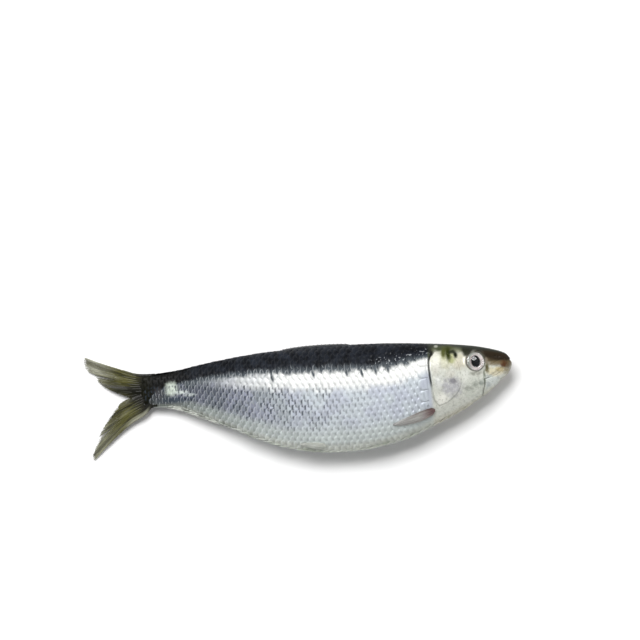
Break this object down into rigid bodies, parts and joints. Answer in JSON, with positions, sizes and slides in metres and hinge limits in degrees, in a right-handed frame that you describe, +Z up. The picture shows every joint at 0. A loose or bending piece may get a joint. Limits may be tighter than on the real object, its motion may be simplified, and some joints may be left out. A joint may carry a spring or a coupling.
{
  "type": "sardine",
  "caption": "Whole fresh sardine lying on its left flank: silver oval body, gill covers, eyes, closed jaws, folded fins and a forked tail fin.",
  "frame": {"origin": "middle of the fish's bounding box in plan, on the surface that it lies on", "axes": "+X from the tail to the snout, +Y from the belly to the back, +Z up out of the right flank"},
  "size_m": [0.1706, 0.0454, 0.021],
  "materials": {
    "skin": "wet silver skin with overlapping scales, blue-black back",
    "gill_cover": "pearly silver bone under skin",
    "jaw": "smooth skin over bone, brown at the snout and tan behind",
    "eye": "clear wet cornea over a pale iris and a black pupil",
    "fin": "olive-grey rays in a thin membrane, clearer at the tips"
  },
  "bodies": {
    "root": {"body": "skin", "lower_jaw": "jaw", "right_upper_jaw": "jaw", "left_upper_jaw": "jaw", "right_eye": "eye", "left_eye": "eye", "right_gill_cover": "gill_cover", "left_gill_cover": "gill_cover", "right_pectoral_fin": "fin", "left_pectoral_fin": "fin", "right_pelvic_fin": "fin", "left_pelvic_fin": "fin", "dorsal_fin": "fin", "anal_fin": "fin", "tail_fin": "fin"}
  },
  "joints": []
}
